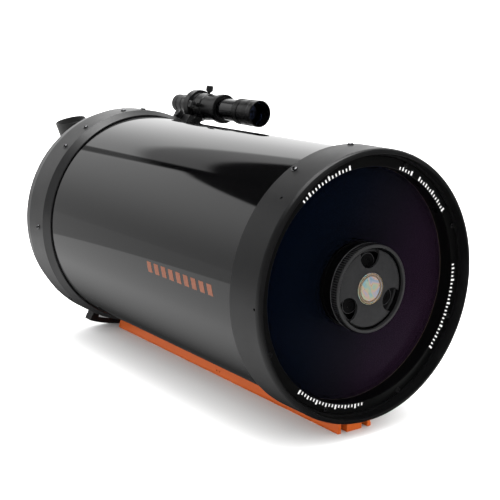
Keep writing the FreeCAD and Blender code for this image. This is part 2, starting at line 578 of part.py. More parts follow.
# tapped hole for the clamp thumbscrew, on the -X flank of the foot
tdir = -e_t
thumb_seat = e_r * (foot_base.value + 7.6) - e_t * 15.2
tools.append(cyl("foot_thumb_tap", 1.85, 12, Val(thumb_seat.x, "%.5f" % thumb_seat.x) + e_t.x * 9, foot_mid, Val(thumb_seat.z, "%.5f" % thumb_seat.z) + e_t.z * 9, toward(tdir.x, 0, tdir.z)))
cut("finder_foot", blank, tools)
group("finder_foot_screws", [bolt("foot_screw_%d" % k, polar(foot_base + 2.4, finder_ang)[0], a, polar(foot_base + 2.4, finder_ang)[1], out(finder_ang + 180), 3.4, 2.4, 1.9, 8.6) for k, a in enumerate((foot_mid - 12, foot_mid + 12))])
thumbscrew("finder_foot_thumbscrew", val(thumb_seat.x), foot_mid, val(thumb_seat.z), toward(tdir.x, 0, tdir.z), 5.0, 7.5, 1.8, 5.6, 1.0)

fa = val(math.hypot(100, 137))
shoe = pad("finder_shoe", [(-9.0, 5.5), (9.0, 5.5), (6.9, 11.0), (5.4, 11.4), (5.4, 18.5), (-5.4, 18.5), (-5.4, 11.4), (-6.9, 11.0)], foot_len - 4,
           polar(fy, finder_ang)[0], foot_mid + foot_len / 2 - 2, polar(fy, finder_ang)[1], FOOT, node=False)
ring_s = par("finder_ring_station", 453)
sleeve = rev("finder_sleeve", [
    (15.3, -55), (17.2, -55), (18.6, -54), (18.6, -47), (16.5, -45.5), (16.5, -21), (17.4, -19.5), (17.4, -6), (16.8, -4.5), (17.4, 0), (20.4, 1.5), (20.8, 2.5), (20.8, 12.5),
    (20.2, 13.2), (18.0, 13.2), (15.3, 10.5)], finder_x, ring_s, finder_z, node=False)
fb = fuse("finder_bracket_blank", [shoe, sleeve])
adj = ring_s - 13
adj_angles = (("finder_adjust_screw_a", 79), ("finder_adjust_screw_b", 169))
tools = [cyl("bracket_bore", 15.3, 90, finder_x, ring_s - 70, finder_z)]
for k, (nm, ang) in enumerate(adj_angles):
    x, z = polar(val(13), ang)
    tools.append(cyl("adjust_tap_%d" % k, 1.85, 8, finder_x + x, adj, finder_z + z, out(ang)))
cut("finder_bracket", fb, tools)
for nm, ang in adj_angles:
    x, z = polar(val(18.9), ang)
    thumbscrew(nm, finder_x + x, adj, finder_z + z, out(ang), 4.4, 7.5, 1.8, 3.2, 1.2)

# ---------------------------------------------------------------- finder
oring = par("finder_pivot_station", 403)
rev("finder_o_ring", [(finder_tube_r + 0.3, -2.2), (14.9, -2.2), (15.1, -1.6), (15.1, 1.6), (14.9, 2.2), (finder_tube_r + 0.3, 2.2)], finder_x, oring, finder_z)
ft = finder_tube_r
rev("finder_tube", [(ft - 1.3, 344), (ft - 0.2, 344), (ft - 0.2, 363.6), (13.6, 363.6), (14.0, 364), (14.0, 391), (ft, 392.5), (ft, 462), (ft - 0.8, 463), (ft - 0.8, 487), (ft - 2.0, 487), (ft - 2.0, 462), (ft - 1.3, 461)], finder_x, 0, finder_z)
rev("finder_eyepiece", [(0, 480), (ft - 2.3, 480), (ft - 2.3, 487.3), (ft - 1.2, 487.3), (ft - 0.4, 488.2), (ft - 0.4, 495), (ft - 1.4, 496), (ft - 1.4, 499.5), (ft - 0.9, 500), (ft - 0.9, 509),
                        (ft - 1.7, 510), (8.2, 510), (6.6, 506), (0, 506)], finder_x, 0, finder_z)
rev("finder_lock_ring", [(ft + 0.1, 352), (15.5, 352), (15.9, 352.4), (15.9, 362.6), (15.5, 363), (ft + 0.1, 363)], finder_x, 0, finder_z)
rev("finder_objective_cell", [(15.0, 322), (16.1, 322), (16.5, 322.6), (16.5, 330), (16.2, 331), (16.2, 350.0), (15.8, 350.4), (ft + 0.1, 350.4), (ft + 0.1, 343.6), (14.2, 343.4), (14.2, 341.6), (15.0, 341.4)], finder_x, 0, finder_z)
blank = cyl("objective_lens_blank", 14.9, 7.2, finder_x, 334.2, finder_z)
ball = doc.addObject("Part::Sphere", "objective_curve")
bind(ball, "Radius", par("objective_curvature_radius", 62))
place(ball, finder_x, val(334.2) + 62, finder_z)
com = doc.addObject("Part::MultiCommon", "finder_objective_lens")
com.Shapes = [blank, ball]
com.Label = "finder_objective_lens"
nodes.append(("finder_objective_lens", com))

# ---------------------------------------------------------------- star diagonal
TA = math.radians(diag_tilt)
up = Vector(-math.sin(TA), 0, math.cos(TA))
side = Vector(math.cos(TA), 0, math.sin(TA))
UP = toward(up.x, 0, up.z)
dn = val(diag_station)
rev("diagonal_nosepiece", [(13.6, vb + 0.5), (nose_r - 0.5, vb + 0.5), (nose_r, vb + 1), (nose_r, vb + 27.4), (17.6, vb + 27.4), (17.6, dn - 21.4), (13.6, dn - 21.4)])
# housing: side outline in the plane of the optical axis and the eyepiece axis, pushed across its width
hwid = 38.0
up9 = val(up.x * 9), val(up.z * 9)
R3 = Rotation(Vector(0, 1, 0), up, Vector(0, 1, 0).cross(up))
wdir = Vector(0, 1, 0).cross(up)
ho = wdir * (-hwid / 2)
blank = pad("diagonal_housing", [(-20.5, -17.5), (-19, -20.5), (-9.5, -20.5), (20.5, 9.5), (20.5, 19), (19, 20.5), (-19, 20.5), (-20.5, 19)], hwid, val(ho.x), dn, val(ho.z), R3, node=False)
cw = wdir * (-10.0)
cavity = pad("diagonal_cavity", [(-14, -9.7), (-9.7, -9.7), (9.9, 9.9), (9.9, 14), (-14, 14)], 20, val(cw.x), dn, val(cw.z), R3, node=False)
tools = [cyl("diagonal_bore", 14, 16, 0, dn - 25, 0), cyl("diagonal_top_bore", 14, 19, up9[0], dn, up9[1], UP), cavity]
cut("diagonal_housing", blank, tools)
pw = wdir * (-9.6)
pad("diagonal_prism", [(-9.3, -9.0), (9.0, 9.3), (-9.3, 9.3)], 19.2, val(pw.x), dn, val(pw.z), R3)


def along_up(d):
    d = val(d)
    return Val(up.x, "%.6f" % up.x if up.x >= 0 else "(0 - %.6f)" % -up.x) * d, dn, Val(up.z, "%.6f" % up.z) * d


blank = rev("diagonal_holder", [(14, 20.7), (19.8, 20.7), (20.4, 21.5), (20.4, 24), (19.0, 25), (19.0, 43), (18.4, 43.8), (nose_bore + 0.5, 43.8), (nose_bore, 43.2), (nose_bore, 24.5), (14, 24.5)], 0, dn, 0, UP, node=False)
et = along_up(34)
# the holder's thumbscrew faces back, away from the tube
back_dir = toward(0, 1, 0)
cut("diagonal_holder", blank, [cyl("holder_tap", 1.85, 10, et[0], dn + 12, et[2], back_dir)])
thumbscrew("eyepiece_thumbscrew", et[0], dn + 19.3, et[2], back_dir, 4.8, 6.5, 1.8, 3.1, 1.0)

# ---------------------------------------------------------------- eyepiece
rev("eyepiece_barrel", [(12.6, 26), (14.9, 26), (nose_r, 26.8), (nose_r, 32), (nose_r - 0.5, 32.5), (nose_r - 0.5, 40), (nose_r, 40.5), (nose_r, 50), (12.6, 50)], 0, dn, 0, UP)
rev("eyepiece_body", [(12.6, 50.1), (17.2, 50.1), (18.2, 51.1), (18.2, 62), (17.4, 63), (17.4, 65), (18.4, 66), (18.4, 84), (17.8, 84.8), (16.0, 84.8), (16.0, 92.0), (12.0, 92.0), (12.0, 88), (9.6, 86), (9.6, 70), (12.6, 66)], 0, dn, 0, UP)
rev("eyepiece_lens", [(0, 83.6), (9.5, 83.6), (9.5, 86), (0, 87.6)], 0, dn, 0, UP)
rev("eyepiece_eyecup", [(16.05, 85.0), (18.0, 85.0), (18.5, 85.6), (18.2, 96), (19.5, 107), (20.7, 116), (20.2, 117), (19.4, 116.8), (18.0, 108), (16.4, 98), (16.05, 93)], 0, dn, 0, UP)

# ---------------------------------------------------------------- recompute, check and write
doc.recompute()
bad = [o.Name for o in doc.Objects if "Invalid" in o.State or "Error" in o.State]
if bad:
    raise RuntimeError("failed objects: %s" % bad)
for name, obj in nodes:
    shape = obj.Shape
    if shape.isNull() or not shape.isValid() or not shape.Solids:
        raise RuntimeError("bad shape: " + name)
if len(nodes) != len(set(n for n, o in nodes)) or len(nodes) > 60:
    raise RuntimeError("node list: %d" % len(nodes))
for name, obj in nodes:
    obj.Shape.exportStep("parts/%s.step" % name)
print(len(nodes), "sub-parts written")
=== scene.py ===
import math
import bmesh
import bpy
from mathutils import Matrix, Vector


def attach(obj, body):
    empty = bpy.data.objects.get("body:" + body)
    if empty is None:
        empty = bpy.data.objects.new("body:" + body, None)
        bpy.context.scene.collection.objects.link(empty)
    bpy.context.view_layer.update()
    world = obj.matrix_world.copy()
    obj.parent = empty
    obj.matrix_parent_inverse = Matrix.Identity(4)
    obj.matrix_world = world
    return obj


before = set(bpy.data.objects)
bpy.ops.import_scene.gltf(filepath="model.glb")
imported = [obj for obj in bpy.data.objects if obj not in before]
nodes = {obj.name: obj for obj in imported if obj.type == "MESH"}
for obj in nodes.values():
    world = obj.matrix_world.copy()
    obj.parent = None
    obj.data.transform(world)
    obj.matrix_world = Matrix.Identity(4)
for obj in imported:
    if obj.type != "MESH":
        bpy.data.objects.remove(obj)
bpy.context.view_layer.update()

Y0, H = 0.245, 0.151  # station of the row's origin, height of the optical axis


def P(x, a, z):
    """x and z in mm from the optical axis, a in mm behind the front rim."""
    return Vector((x / 1000, a / 1000 - Y0, z / 1000 + H))


# ------------------------------------------------------------------ materials
def new_mat(name):
    m = bpy.data.materials.new(name)
    m.use_nodes = True
    nt = m.node_tree
    for n in list(nt.nodes):
        nt.nodes.remove(n)
    out = nt.nodes.new("ShaderNodeOutputMaterial")
    b = nt.nodes.new("ShaderNodeBsdfPrincipled")
    nt.links.new(b.outputs[0], out.inputs[0])
    return m, nt, b


def noise(nt, scale, detail=4.0, rough=0.55, stretch=None):
    tc = nt.nodes.new("ShaderNodeTexCoord")
    mp = nt.nodes.new("ShaderNodeMapping")
    if stretch:
        mp.inputs["Scale"].default_value = stretch
    nt.links.new(tc.outputs["Object"], mp.inputs["Vector"])
    n = nt.nodes.new("ShaderNodeTexNoise")
    n.inputs["Scale"].default_value = scale
    n.inputs["Detail"].default_value = detail
    n.inputs["Roughness"].default_value = rough
    nt.links.new(mp.outputs[0], n.inputs["Vector"])
    return n


def ramp(nt, src, lo, hi, c0, c1):
    r = nt.nodes.new("ShaderNodeValToRGB")
    r.color_ramp.elements[0].position = lo
    r.color_ramp.elements[1].position = hi
    r.color_ramp.elements[0].color = (*c0, 1)
    r.color_ramp.elements[1].color = (*c1, 1)
    nt.links.new(src, r.inputs[0])
    return r


def rng(nt, src, a, b, lo=0.3, hi=0.7):
    m = nt.nodes.new("ShaderNodeMapRange")
    m.inputs["From Min"].default_value = lo
    m.inputs["From Max"].default_value = hi
    m.inputs["To Min"].default_value = a
    m.inputs["To Max"].default_value = b
    nt.links.new(src, m.inputs["Value"])
    return m


def finish_mat(name, c0, c1, r0, r1, scale=60, metal=0.0, bump=0.0, bump_scale=900, bump_dist=0.0002, coat=0.0, coat_rough=0.05,
               stretch=None, spec=0.5, sheen=0.0, rough_scale=25):
    """Painted, anodised or moulded surface: two-tone colour noise, uneven gloss and a fine bump."""
    m, nt, b = new_mat(name)
    n1 = noise(nt, scale, 5, 0.6, stretch)
    cr = ramp(nt, n1.outputs["Fac"], 0.32, 0.68, c0, c1)
    nt.links.new(cr.outputs[0], b.inputs["Base Color"])
    n2 = noise(nt, rough_scale, 6, 0.65, stretch)
    rr = rng(nt, n2.outputs["Fac"], r0, r1)
    nt.links.new(rr.outputs[0], b.inputs["Roughness"])
    b.inputs["Metallic"].default_value = metal
    b.inputs["Specular IOR Level"].default_value = spec
    b.inputs["Coat Weight"].default_value = coat
    b.inputs["Coat Roughness"].default_value = coat_rough
    b.inputs["Sheen Weight"].default_value = sheen
    if bump:
        n3 = noise(nt, bump_scale, 3, 0.5, stretch)
        bp = nt.nodes.new("ShaderNodeBump")
        bp.inputs["Strength"].default_value = bump
        bp.inputs["Distance"].default_value = bump_dist
        nt.links.new(n3.outputs["Fac"], bp.inputs["Height"])
        nt.links.new(bp.outputs[0], b.inputs["Normal"])
    return m


M = {}


def tube_mat():
    """Gloss black paint outside with faint flake, flat black inside the bore."""
    m = finish_mat("gloss_black_paint", (0.0004, 0.0004, 0.0005), (0.0010, 0.0010, 0.0011), 0.035, 0.06, scale=1400, bump=0.02, bump_scale=160, bump_dist=0.00006, spec=0.5, rough_scale=18)
    nt = m.node_tree
    b = next(n for n in nt.nodes if n.type == "BSDF_PRINCIPLED")
    tc = nt.nodes.new("ShaderNodeTexCoord")
    sep = nt.nodes.new("ShaderNodeSeparateXYZ")
    nt.links.new(tc.outputs["Object"], sep.inputs[0])

    def op(kind, *ins):
        n = nt.nodes.new("ShaderNodeMath")
        n.operation = kind
        for k, v in enumerate(ins):
            if hasattr(v, "is_linked"):
                nt.links.new(v, n.inputs[k])
            else:
                n.inputs[k].default_value = v
        return n.outputs[0]

    dz = op("SUBTRACT", sep.outputs[2], H)
    r2 = op("ADD", op("MULTIPLY", sep.outputs[0], sep.outputs[0]), op("MULTIPLY", dz, dz))
    inside = op("LESS_THAN", r2, 0.1299 ** 2)
    src = b.inputs["Roughness"].links[0].from_socket
    nt.links.new(op("MAXIMUM", src, op("MULTIPLY", inside, 0.85)), b.inputs["Roughness"])
    return m


M["tube"] = tube_mat()
M["finder_tube"] = finish_mat("finder_gloss_black", (0.0012, 0.0012, 0.0014), (0.0026, 0.0026, 0.0028), 0.09, 0.15, scale=900, bump=0.04, bump_scale=900, bump_dist=0.00004)
M["front_cast"] = finish_mat("front_cell_coat", (0.0022, 0.0022, 0.0024), (0.0042, 0.0042, 0.0045), 0.33, 0.42, scale=900, bump=0.28, bump_scale=2600, bump_dist=0.00008, spec=0.29)
# the two cells share one paint; the rear cell's copy is painted about three times lighter: painted light
M["rear_cast"] = finish_mat("rear_cell_coat_painted_light", (0.0060, 0.0060, 0.0063), (0.0110, 0.0110, 0.0114), 0.33, 0.42, scale=900, bump=0.28, bump_scale=2600, bump_dist=0.00008, spec=0.46)
# one black anodise on the secondary ring: the ring body's copy is painted lighter (painted light on its front face)
M["sec_ring"] = finish_mat("grip_ring_anodise_painted_light", (0.0110, 0.0110, 0.0113), (0.0185, 0.0185, 0.0190), 0.28, 0.38, scale=700, bump=0.12, bump_scale=3000, bump_dist=0.00004, spec=0.5)
M["sec_housing"] = finish_mat("housing_black_anodise", (0.0008, 0.0008, 0.0010), (0.0018, 0.0018, 0.0020), 0.30, 0.42, scale=700, bump=0.12, bump_scale=3000, bump_dist=0.00004, spec=0.12)
M["finder_matte"] = finish_mat("finder_black_anodise", (0.0012, 0.0012, 0.0014), (0.0030, 0.0030, 0.0032), 0.22, 0.32, scale=700, bump=0.12, bump_scale=3200, bump_dist=0.00004, spec=0.34)
M["knob_black"] = finish_mat("collimation_black", (0.0010, 0.0010, 0.0011), (0.0024, 0.0024, 0.0025), 0.26, 0.36, scale=600, bump=0.1, bump_scale=1800, bump_dist=0.00003, spec=0.10)
# light grey copy of the knob black, used as a painted glint along ring and knob edges
M["knob_edge"] = finish_mat("painted_glint_edge", (0.030, 0.030, 0.032), (0.055, 0.055, 0.057), 0.24, 0.34, scale=600, bump=0.1, bump_scale=1800, bump_dist=0.00003)
# darker copy of the secondary ring's anodise for its knurl ribs: painted shade on the ring's side
M["grip_side"] = finish_mat("grip_side_anodise_painted_shade", (0.0008, 0.0008, 0.0010), (0.0022, 0.0022, 0.0024), 0.28, 0.38, scale=700, bump=0.12, bump_scale=3000, bump_dist=0.00004, spec=0.14)
M["badge_band"] = finish_mat("badge_band_enamel", (0.080, 0.055, 0.040), (0.110, 0.078, 0.058), 0.25, 0.35, scale=500, bump=0.06, bump_scale=1200, bump_dist=0.00002)
M["screw_bright"] = finish_mat("blackened_screw_steel", (0.075, 0.075, 0.078), (0.13, 0.13, 0.134), 0.16, 0.26, scale=600, metal=1.0, bump=0.1, bump_scale=1800, bump_dist=0.00003)
M["handle_black"] = finish_mat("handle_black_plastic", (0.0022, 0.0022, 0.0025), (0.0048, 0.0048, 0.0051), 0.32, 0.44, scale=350, bump=0.12, bump_scale=1600, bump_dist=0.00005, spec=0.32)
M["matte"] = finish_mat("matt_black_anodise", (0.004, 0.004, 0.0044), (0.008, 0.008, 0.0084), 0.32, 0.44, scale=700, bump=0.15, bump_scale=3200, bump_dist=0.00004, spec=0.5)
M["ring"] = finish_mat("ring_black_anodise", (0.0008, 0.0008, 0.0009), (0.0020, 0.0020, 0.0021), 0.26, 0.36, scale=700, bump=0.12, bump_scale=3000, bump_dist=0.00004, spec=0.22)
M["inner"] = finish_mat("flat_black_interior", (0.002, 0.002, 0.0025), (0.004, 0.004, 0.0045), 0.8, 0.95, scale=400, bump=0.2, bump_scale=1500, bump_dist=0.0001, spec=0.2)
M["orange"] = finish_mat("orange_anodise", (0.58, 0.098, 0.010), (0.72, 0.140, 0.016), 0.30, 0.42, scale=60, metal=0.30, bump=0.18, bump_scale=900, bump_dist=0.00006,
                         stretch=(1, 0.04, 1), spec=0.5)
M["screw"] = finish_mat("black_oxide_steel", (0.015, 0.015, 0.016), (0.03, 0.03, 0.031), 0.22, 0.34, scale=600, metal=0.8, bump=0.1, bump_scale=1800, bump_dist=0.00003)
M["steel"] = finish_mat("turned_steel", (0.42, 0.42, 0.43), (0.60, 0.60, 0.61), 0.16, 0.28, scale=260, metal=1.0, bump=0.12, bump_scale=900, bump_dist=0.00003, stretch=(1, 6, 6))
M["chrome"] = finish_mat("barrel_chrome", (0.55, 0.55, 0.56), (0.66, 0.66, 0.67), 0.08, 0.16, scale=200, metal=1.0, bump=0.05, bump_scale=500, bump_dist=0.00002)
M["rubber"] = finish_mat("soft_black_rubber", (0.005, 0.005, 0.005), (0.010, 0.010, 0.010), 0.6, 0.78, scale=300, bump=0.25, bump_scale=1900, bump_dist=0.00008, spec=0.35, sheen=0.15)
M["plastic"] = finish_mat("moulded_black_plastic", (0.005, 0.005, 0.0055), (0.010, 0.010, 0.0105), 0.30, 0.44, scale=350, bump=0.12, bump_scale=1600, bump_dist=0.00005)
M["cover"] = finish_mat("cover_black_plastic", (0.0095, 0.0095, 0.0100), (0.0150, 0.0150, 0.0156), 0.26, 0.36, scale=350, bump=0.10, bump_scale=1600, bump_dist=0.00004)
M["gasket"] = finish_mat("cork_gasket", (0.030, 0.020, 0.012), (0.060, 0.040, 0.025), 0.8, 0.92, scale=900, bump=0.5, bump_scale=1400, bump_dist=0.0001)
M["bronze"] = finish_mat("machined_bronze", (0.34, 0.22, 0.10), (0.48, 0.32, 0.15), 0.2, 0.32, scale=220, metal=1.0, bump=0.1, bump_scale=900, bump_dist=0.00003)
M["mirror"] = finish_mat("aluminised_mirror", (0.80, 0.82, 0.84), (0.86, 0.88, 0.90), 0.01, 0.03, scale=30, metal=1.0)
M["mark_white"] = finish_mat("white_silk_print", (0.50, 0.50, 0.50), (0.60, 0.60, 0.59), 0.45, 0.55, scale=800, bump=0.1, bump_scale=1500, bump_dist=0.00002)
M["mark_copper"] = finish_mat("copper_silk_print", (0.125, 0.036, 0.015), (0.170, 0.052, 0.022), 0.35, 0.48, scale=500, metal=0.15, bump=0.08, bump_scale=1500, bump_dist=0.00002)
M["gold"] = finish_mat("pale_gold_trim", (0.34, 0.25, 0.13), (0.44, 0.34, 0.19), 0.2, 0.3, scale=400, metal=0.85, bump=0.05, bump_scale=900, bump_dist=0.00002)


def glass_mat(name, tint, rough, ior, spec, film=None):
    """Coated optical glass: uneven tint, tinted clear body, faint coloured reflection."""
    m, nt, b = new_mat(name)
    n1 = noise(nt, 9, 2, 0.5)
    cr = ramp(nt, n1.outputs["Fac"], 0.3, 0.7, tint[0], tint[1])
    nt.links.new(cr.outputs[0], b.inputs["Base Color"])
    n2 = noise(nt, 40, 4, 0.6)
    rr = rng(nt, n2.outputs["Fac"], rough, rough + 0.02)
    nt.links.new(rr.outputs[0], b.inputs["Roughness"])
    b.inputs["Transmission Weight"].default_value = 1.0
    b.inputs["IOR"].default_value = ior
    b.inputs["Specular IOR Level"].default_value = spec
    if film:
        b.inputs["Specular Tint"].default_value = (*film, 1)
    return m




def corrector_mat():
    """Multi-coated plate with a painted reflection: dark blue at one side running to brighter violet at the other,
    painted lighter towards the bottom, dark clear body, weak violet reflection.
    """
    m, nt, b = new_mat("corrector_coated_painted_reflection")
    tc = nt.nodes.new("ShaderNodeTexCoord")
    sep = nt.nodes.new("ShaderNodeSeparateXYZ")
    nt.links.new(tc.outputs["Object"], sep.inputs[0])
    n0 = noise(nt, 7, 2, 0.5)
    # painted reflection: the plate is painted lighter towards its bottom
    painted_reflection_tilt = nt.nodes.new("ShaderNodeMath")
    painted_reflection_tilt.operation = "MULTIPLY_ADD"
    nt.links.new(sep.outputs[2], painted_reflection_tilt.inputs[0])
    painted_reflection_tilt.inputs[1].default_value = -0.45
    painted_reflection_tilt.inputs[2].default_value = 0.45 * H - 0.025
    add = nt.nodes.new("ShaderNodeMath")
    add.operation = "MULTIPLY_ADD"
    nt.links.new(n0.outputs["Fac"], add.inputs[0])
    add.inputs[1].default_value = 0.05
    nt.links.new(sep.outputs[0], add.inputs[2])
    painted_reflection_pos = nt.nodes.new("ShaderNodeMath")
    painted_reflection_pos.operation = "ADD"
    nt.links.new(add.outputs[0], painted_reflection_pos.inputs[0])
    nt.links.new(painted_reflection_tilt.outputs[0], painted_reflection_pos.inputs[1])
    fac = rng(nt, painted_reflection_pos.outputs[0], 0.0, 1.0, -0.10, 0.13)
    r = nt.nodes.new("ShaderNodeValToRGB")
    e = r.color_ramp.elements
    # painted reflection: stops run from dark blue to a brighter violet across the plate
    e[0].position, e[0].color = 0.0, (0.0013, 0.0034, 0.0089, 1)
    e[1].position, e[1].color = 1.0, (0.0215, 0.0104, 0.0222, 1)
    for p, c in ((0.27, (0.0031, 0.0050, 0.0104)), (0.52, (0.0085, 0.0078, 0.0126)), (0.72, (0.0159, 0.0090, 0.0185))):
        k = e.new(p)
        k.color = (*c, 1)
    nt.links.new(fac.outputs[0], r.inputs[0])
    nt.links.new(r.outputs[0], b.inputs["Base Color"])
    n2 = noise(nt, 40, 4, 0.6)
    rr = rng(nt, n2.outputs["Fac"], 0.0, 0.02)
    nt.links.new(rr.outputs[0], b.inputs["Roughness"])
    b.inputs["Transmission Weight"].default_value = 0.72
    b.inputs["IOR"].default_value = 1.12
    b.inputs["Specular Tint"].default_value = (0.75, 0.55, 1.0, 1)
    return m


M["corrector"] = corrector_mat()
M["objective"] = glass_mat("objective_coated", ((0.045, 0.058, 0.095), (0.075, 0.090, 0.140)), 0.0, 1.45, 0.4, (0.60, 0.68, 1.0))
M["lens"] = glass_mat("eye_lens_coated", ((0.20, 0.26, 0.30), (0.28, 0.32, 0.42)), 0.0, 1.45, 0.5, (0.6, 0.8, 0.9))
M["prism"] = glass_mat("prism_glass", ((0.75, 0.80, 0.78), (0.82, 0.86, 0.84)), 0.0, 1.5, 0.5)


def badge_mat():
    """Pastel foil: soft colour bands across a silver ground."""
    m, nt, b = new_mat("pastel_foil")
    tc = nt.nodes.new("ShaderNodeTexCoord")
    mp = nt.nodes.new("ShaderNodeMapping")
    mp.inputs["Rotation"].default_value = (0.0, 0.5, 0.0)
    mp.inputs["Scale"].default_value = (26, 26, 26)
    nt.links.new(tc.outputs["Object"], mp.inputs["Vector"])
    w = nt.nodes.new("ShaderNodeTexNoise")
    w.inputs["Scale"].default_value = 2.3
    w.inputs["Detail"].default_value = 2
    w.inputs["Distortion"].default_value = 1.2
    nt.links.new(mp.outputs[0], w.inputs["Vector"])
    r = nt.nodes.new("ShaderNodeValToRGB")
    e = r.color_ramp.elements
    e[0].position, e[0].color = 0.25, (0.040, 0.080, 0.105, 1)
    e[1].position, e[1].color = 0.80, (0.060, 0.078, 0.110, 1)
    for p, c in ((0.36, (0.12, 0.22, 0.25)), (0.45, (0.22, 0.25, 0.17)), (0.53, (0.31, 0.20, 0.15)), (0.62, (0.20, 0.21, 0.26)), (0.70, (0.12, 0.18, 0.23))):
        k = e.new(p)
        k.color = (*c, 1)
    nt.links.new(w.outputs["Fac"], r.inputs[0])
    nt.links.new(r.outputs[0], b.inputs["Base Color"])
    n2 = noise(nt, 300, 4, 0.6)
    rr = rng(nt, n2.outputs["Fac"], 0.25, 0.4)
    nt.links.new(rr.outputs[0], b.inputs["Roughness"])
    b.inputs["Metallic"].default_value = 0.35
    return m


M["foil"] = badge_mat()

GIVE = {
    "front_cast": ["front_cell"],
    "rear_cast": ["rear_cell"],
    "ring": ["corrector_ring"],
    "sec_housing": ["secondary_housing"],
    "sec_ring": ["secondary_retaining_ring"],
    "gasket": ["corrector_gasket"],
    "corrector": ["corrector_plate"],
    "tube": ["main_tube"],
    "finder_tube": ["finder_tube"],
    "screw": ["retaining_ring_screws", "port_plate_screws", "dovetail_screws", "handle_screws", "finder_foot_screws"],
    "screw_bright": ["front_cell_screws", "rear_cell_screws"],
    "knob_black": ["collimation_screw_1", "collimation_screw_2", "collimation_screw_3"],
    "cover": ["secondary_cover"],
    "foil": ["secondary_badge"],
    "inner": ["secondary_mirror_cell", "secondary_baffle", "primary_baffle", "mirror_carrier", "mirror_clamp_ring"],
    "mirror": ["secondary_mirror", "primary_mirror"],
    "matte": ["rear_port_plate", "visual_back_ring", "visual_back", "focuser_bushing", "finder_foot",
              "diagonal_nosepiece", "diagonal_holder", "eyepiece_body", "focus_knob_core"],
    "finder_matte": ["finder_bracket", "finder_lock_ring", "finder_objective_cell"],
    "orange": ["dovetail_bar"],
    "handle_black": ["rear_handle"],
    "plastic": ["diagonal_housing", "finder_eyepiece", "finder_foot_thumbscrew", "finder_adjust_screw_a", "finder_adjust_screw_b"],
    "steel": ["visual_back_thumbscrew_a", "visual_back_thumbscrew_b", "eyepiece_thumbscrew", "focus_screw"],
    "chrome": ["eyepiece_barrel"],
    "rubber": ["focus_knob_grip", "eyepiece_eyecup", "finder_o_ring"],
    "bronze": ["focus_nut"],
    "objective": ["finder_objective_lens"],
    "lens": ["eyepiece_lens"],
    "prism": ["diagonal_prism"],
}
given = set()
for key, names in GIVE.items():
    for n in names:
        o = nodes[n]
        o.data.materials.clear()
        o.data.materials.append(M[key])
        given.add(n)
assert given == set(nodes), sorted(set(nodes) - given)


# ------------------------------------------------------------------ added pieces
def mesh_obj(name, verts, faces, mat, body, smooth=False):
    me = bpy.data.meshes.new(name)
    me.from_pydata([tuple(v) for v in verts], [], faces)
    bm = bmesh.new()
    bm.from_mesh(me)
    bmesh.ops.recalc_face_normals(bm, faces=bm.faces)
    bm.to_mesh(me)
    bm.free()
    if smooth:
        for p in me.polygons:
            p.use_smooth = True
    o = bpy.data.objects.new(name, me)
    bpy.context.scene.collection.objects.link(o)
    me.materials.append(mat)
    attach(o, body)
    return o


def add_block(verts, faces, corners):
    """Eight corners: four on the seat, the same four raised."""
    k = len(verts)
    verts.extend(corners)
    faces.extend([(k, k + 3, k + 2, k + 1), (k + 4, k + 5, k + 6, k + 7), (k, k + 1, k + 5, k + 4), (k + 1, k + 2, k + 6, k + 5), (k + 2, k + 3, k + 7, k + 6), (k + 3, k, k + 4, k + 7)])


def axis_frame(centre, axis):
    axis = axis.normalized()
    ref = Vector((0, 0, 1)) if abs(axis.z) < 0.9 else Vector((1, 0, 0))
    u = axis.cross(ref).normalized()
    v = axis.cross(u).normalized()
    return centre, axis, u, v


def ribs(name, centre, axis, r, a0, a1, count, width, height, mat, body):
    """Raised grip ribs round a turned piece, each a tapered bar with chamfered ends."""
    c, ax, u, v = axis_frame(centre, axis)
    verts, faces = [], []
    for k in range(count):
        th = 2 * math.pi * k / count
        e = u * math.cos(th) + v * math.sin(th)
        t = -u * math.sin(th) + v * math.cos(th)
        ch = min(height * 1.5, (a1 - a0) * 0.2)
        lo = [c + ax * a + e * (r - 0.00012) + t * s for a, s in ((a0, -width / 2), (a0, width / 2), (a1, width / 2), (a1, -width / 2))]
        hi = [c + ax * a + e * (r + height) + t * s for a, s in ((a0 + ch, -width * 0.3), (a0 + ch, width * 0.3), (a1 - ch, width * 0.3), (a1 - ch, -width * 0.3))]
        add_block(verts, faces, lo + hi)
    return mesh_obj(name, verts, faces, mat, body)


def revolve(name, centre, axis, prof, mat, body, seg=96):
    """A closed turned outline, (along, radius) in metres."""
    c, ax, u, v = axis_frame(centre, axis)
    n = len(prof)
    verts, faces = [], []
    for i in range(seg):
        th = 2 * math.pi * i / seg
        e = u * math.cos(th) + v * math.sin(th)
        for a, r in prof:
            verts.append(c + ax * a + e * r)
    for i in range(seg):
        j = (i + 1) % seg
        for k in range(n):
            q = (k + 1) % n
            faces.append((i * n + k, i * n + q, j * n + q, j * n + k))
    return mesh_obj(name, verts, faces, mat, body, smooth=False)


# copper print on the tube's near side: a plain row of slanted bars
TR = 0.1304
verts, faces = [], []


def tube_patch(a0, a1, h0, h1, slant=0.0, lift=0.00012, steps=6):
    """A thin print patch wrapped on the tube: stations a0..a1, heights h0..h1 above the side line (mm)."""
    for i in range(steps):
        g0, g1 = h0 + (h1 - h0) * i / steps, h0 + (h1 - h0) * (i + 1) / steps
        pts = []
        for rr in (TR - 0.0001, TR + lift):
            for a, g in ((a0, g0), (a1, g0), (a1, g1), (a0, g1)):
                th = math.pi - g / 130.4
                pts.append(Vector((rr * math.cos(th), (a + slant * g) / 1000 - Y0, rr * math.sin(th) + H)))
        add_block(verts, faces, pts)


for k in range(9):
    a = 83 + k * 14.2
    tube_patch(a, a + 8.4, -5.4, 5.4, slant=0.35)
mesh_obj("tube_side_print", verts, faces, M["mark_copper"], "optical_tube")

# white print on the corrector's retaining ring: graduated ticks in five groups
verts, faces = [], []


